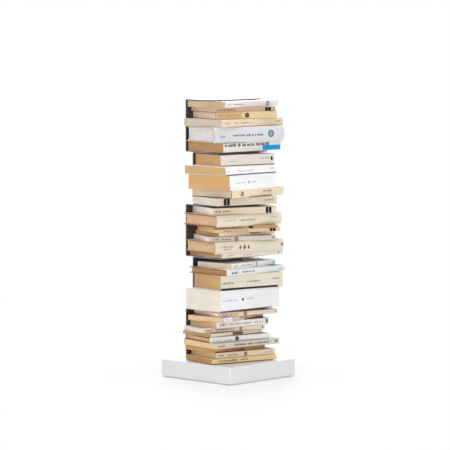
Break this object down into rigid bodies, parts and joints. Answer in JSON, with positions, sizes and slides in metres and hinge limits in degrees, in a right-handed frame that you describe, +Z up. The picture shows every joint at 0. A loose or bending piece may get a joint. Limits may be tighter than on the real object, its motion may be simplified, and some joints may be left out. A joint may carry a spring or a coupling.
{
  "type": "spine bookshelf",
  "caption": "Free-standing column bookshelf: folded black steel shelf modules bolted plate to plate on a weighted square white base, filled with books that lie flat and hide it.",
  "frame": {"origin": "on the floor at the middle of the square base", "axes": "+Z up; X along the books' spines; the spines face -Y and the modules' back panels face +Y"},
  "size_m": [0.255, 0.255, 0.748],
  "materials": {
    "black_powder_coat": "satin black powder coat on folded steel sheet",
    "white_powder_coat": "matt white powder coat on folded steel sheet",
    "zinc_plate": "zinc-plated steel sheet",
    "cast_iron": "sealed casting",
    "black_screw": "black zinc-plated steel",
    "glide_rubber": "moulded rubber",
    "cover_rose": "matt coated paper over a bound block of tan pages",
    "cover_tan": "aged matt paper cover, tan pages",
    "cover_ochre": "aged matt paper cover, cream pages",
    "cover_cream": "cream matt paper cover, tan pages",
    "cover_white": "white coated paper cover, tan pages",
    "cover_lilac": "pale lilac-grey coated paper cover",
    "cover_grey": "light grey coated paper cover",
    "cover_brown": "brown paper cover",
    "cover_yellow": "yellow paper cover",
    "boards_grey": "paper-covered boards, pale pages",
    "boards_red": "red-brown cloth boards, cream spine, tan pages",
    "boards_brown": "brown boards with a white spine, brown pages"
  },
  "bodies": {
    "shelf": {"base_cover": "white_powder_coat", "base_plate": "zinc_plate", "ballast_block": "cast_iron", "glides": "glide_rubber", "base_plate_screws": "zinc_plate", "shelf_module_1": "black_powder_coat", "shelf_module_2": "black_powder_coat", "shelf_module_3": "black_powder_coat", "shelf_module_4": "black_powder_coat", "shelf_module_5": "black_powder_coat", "module_screws_1": "black_screw", "module_screws_2": "black_screw", "module_screws_3": "black_screw", "module_screws_4": "black_screw", "column_bolts": "black_screw"},
    "book_01": {"book_01": "cover_rose"},
    "book_02": {"book_02": "cover_tan"},
    "book_03": {"book_03": "cover_ochre"},
    "book_04": {"book_04": "cover_cream"},
    "book_05": {"book_05": "boards_grey"},
    "book_06": {"book_06": "cover_white"},
    "book_07": {"book_07": "cover_cream"},
    "book_08": {"book_08": "cover_white"},
    "book_09": {"book_09": "cover_white"},
    "book_10": {"book_10": "cover_cream"},
    "book_11": {"book_11": "cover_rose"},
    "book_12": {"book_12": "cover_cream"},
    "book_13": {"book_13": "boards_red"},
    "book_14": {"book_14": "cover_tan"},
    "book_15": {"book_15": "cover_ochre"},
    "book_16": {"book_16": "cover_cream"},
    "book_17": {"book_17": "cover_lilac"},
    "book_18": {"book_18": "boards_red"},
    "book_19": {"book_19": "cover_cream"},
    "book_20": {"book_20": "cover_lilac"},
    "book_21": {"book_21": "boards_brown"},
    "book_22": {"book_22": "cover_cream"},
    "book_23": {"book_23": "cover_white"},
    "book_24": {"book_24": "cover_tan"},
    "book_25": {"book_25": "cover_tan"},
    "book_26": {"book_26": "cover_white"},
    "book_27": {"book_27": "cover_lilac"},
    "book_28": {"book_28": "cover_cream"},
    "book_29": {"book_29": "boards_red"},
    "book_30": {"book_30": "cover_grey"},
    "book_31": {"book_31": "cover_brown"},
    "book_32": {"book_32": "cover_tan"},
    "book_33": {"book_33": "cover_yellow"}
  },
  "joints": [
    {"name": "book_01_pull", "type": "slide", "parent": "shelf", "child": "book_01", "axis": [0, -1, 0], "range_m": [0, 0.22]},
    {"name": "book_02_pull", "type": "slide", "parent": "shelf", "child": "book_02", "axis": [-0.2588, -0.9659, 0], "range_m": [0, 0.22]},
    {"name": "book_03_pull", "type": "slide", "parent": "shelf", "child": "book_03", "axis": [-0.2924, -0.9563, 0], "range_m": [0, 0.22]},
    {"name": "book_04_pull", "type": "slide", "parent": "shelf", "child": "book_04", "axis": [-0.0698, -0.9976, 0], "range_m": [0, 0.22]},
    {"name": "book_05_pull", "type": "slide", "parent": "shelf", "child": "book_05", "axis": [-0.2419, -0.9703, 0], "range_m": [0, 0.22]},
    {"name": "book_06_pull", "type": "slide", "parent": "shelf", "child": "book_06", "axis": [-0.0698, -0.9976, 0], "range_m": [0, 0.22]},
    {"name": "book_07_pull", "type": "slide", "parent": "shelf", "child": "book_07", "axis": [-0.1908, -0.9816, 0], "range_m": [0, 0.22]},
    {"name": "book_08_pull", "type": "slide", "parent": "shelf", "child": "book_08", "axis": [0, -1, 0], "range_m": [0, 0.22]},
    {"name": "book_09_pull", "type": "slide", "parent": "shelf", "child": "book_09", "axis": [0.0698, -0.9976, 0], "range_m": [0, 0.22]},
    {"name": "book_10_pull", "type": "slide", "parent": "shelf", "child": "book_10", "axis": [0.0349, -0.9994, 0], "range_m": [0, 0.22]},
    {"name": "book_11_pull", "type": "slide", "parent": "shelf", "child": "book_11", "axis": [-0.225, -0.9744, 0], "range_m": [0, 0.22]},
    {"name": "book_12_pull", "type": "slide", "parent": "shelf", "child": "book_12", "axis": [-0.3584, -0.9336, 0], "range_m": [0, 0.22]},
    {"name": "book_13_pull", "type": "slide", "parent": "shelf", "child": "book_13", "axis": [-0.1564, -0.9877, 0], "range_m": [0, 0.22]},
    {"name": "book_14_pull", "type": "slide", "parent": "shelf", "child": "book_14", "axis": [-0.4384, -0.8988, 0], "range_m": [0, 0.22]},
    {"name": "book_15_pull", "type": "slide", "parent": "shelf", "child": "book_15", "axis": [-0.4067, -0.9135, 0], "range_m": [0, 0.22]},
    {"name": "book_16_pull", "type": "slide", "parent": "shelf", "child": "book_16", "axis": [-0.2419, -0.9703, 0], "range_m": [0, 0.22]},
    {"name": "book_17_pull", "type": "slide", "parent": "shelf", "child": "book_17", "axis": [-0.4384, -0.8988, 0], "range_m": [0, 0.22]},
    {"name": "book_18_pull", "type": "slide", "parent": "shelf", "child": "book_18", "axis": [-0.2079, -0.9781, 0], "range_m": [0, 0.22]},
    {"name": "book_19_pull", "type": "slide", "parent": "shelf", "child": "book_19", "axis": [-0.1392, -0.9903, 0], "range_m": [0, 0.22]},
    {"name": "book_20_pull", "type": "slide", "parent": "shelf", "child": "book_20", "axis": [0.0523, -0.9986, 0], "range_m": [0, 0.22]},
    {"name": "book_21_pull", "type": "slide", "parent": "shelf", "child": "book_21", "axis": [-0.0523, -0.9986, 0], "range_m": [0, 0.22]},
    {"name": "book_22_pull", "type": "slide", "parent": "shelf", "child": "book_22", "axis": [-0.2079, -0.9781, 0], "range_m": [0, 0.22]},
    {"name": "book_23_pull", "type": "slide", "parent": "shelf", "child": "book_23", "axis": [-0.0523, -0.9986, 0], "range_m": [0, 0.22]},
    {"name": "book_24_pull", "type": "slide", "parent": "shelf", "child": "book_24", "axis": [-0.2419, -0.9703, 0], "range_m": [0, 0.22]},
    {"name": "book_25_pull", "type": "slide", "parent": "shelf", "child": "book_25", "axis": [0.1219, -0.9925, 0], "range_m": [0, 0.22]},
    {"name": "book_26_pull", "type": "slide", "parent": "shelf", "child": "book_26", "axis": [-0.1564, -0.9877, 0], "range_m": [0, 0.22]},
    {"name": "book_27_pull", "type": "slide", "parent": "shelf", "child": "book_27", "axis": [-0.2924, -0.9563, 0], "range_m": [0, 0.22]},
    {"name": "book_28_pull", "type": "slide", "parent": "shelf", "child": "book_28", "axis": [-0.1219, -0.9925, 0], "range_m": [0, 0.22]},
    {"name": "book_29_pull", "type": "slide", "parent": "shelf", "child": "book_29", "axis": [-0.225, -0.9744, 0], "range_m": [0, 0.22]},
    {"name": "book_30_pull", "type": "slide", "parent": "shelf", "child": "book_30", "axis": [-0.1564, -0.9877, 0], "range_m": [0, 0.22]},
    {"name": "book_31_pull", "type": "slide", "parent": "shelf", "child": "book_31", "axis": [-0.0872, -0.9962, 0], "range_m": [0, 0.22]},
    {"name": "book_32_pull", "type": "slide", "parent": "shelf", "child": "book_32", "axis": [-0.2419, -0.9703, 0], "range_m": [0, 0.22]},
    {"name": "book_33_pull", "type": "slide", "parent": "shelf", "child": "book_33", "axis": [-0.2419, -0.9703, 0], "range_m": [0, 0.22]}
  ]
}
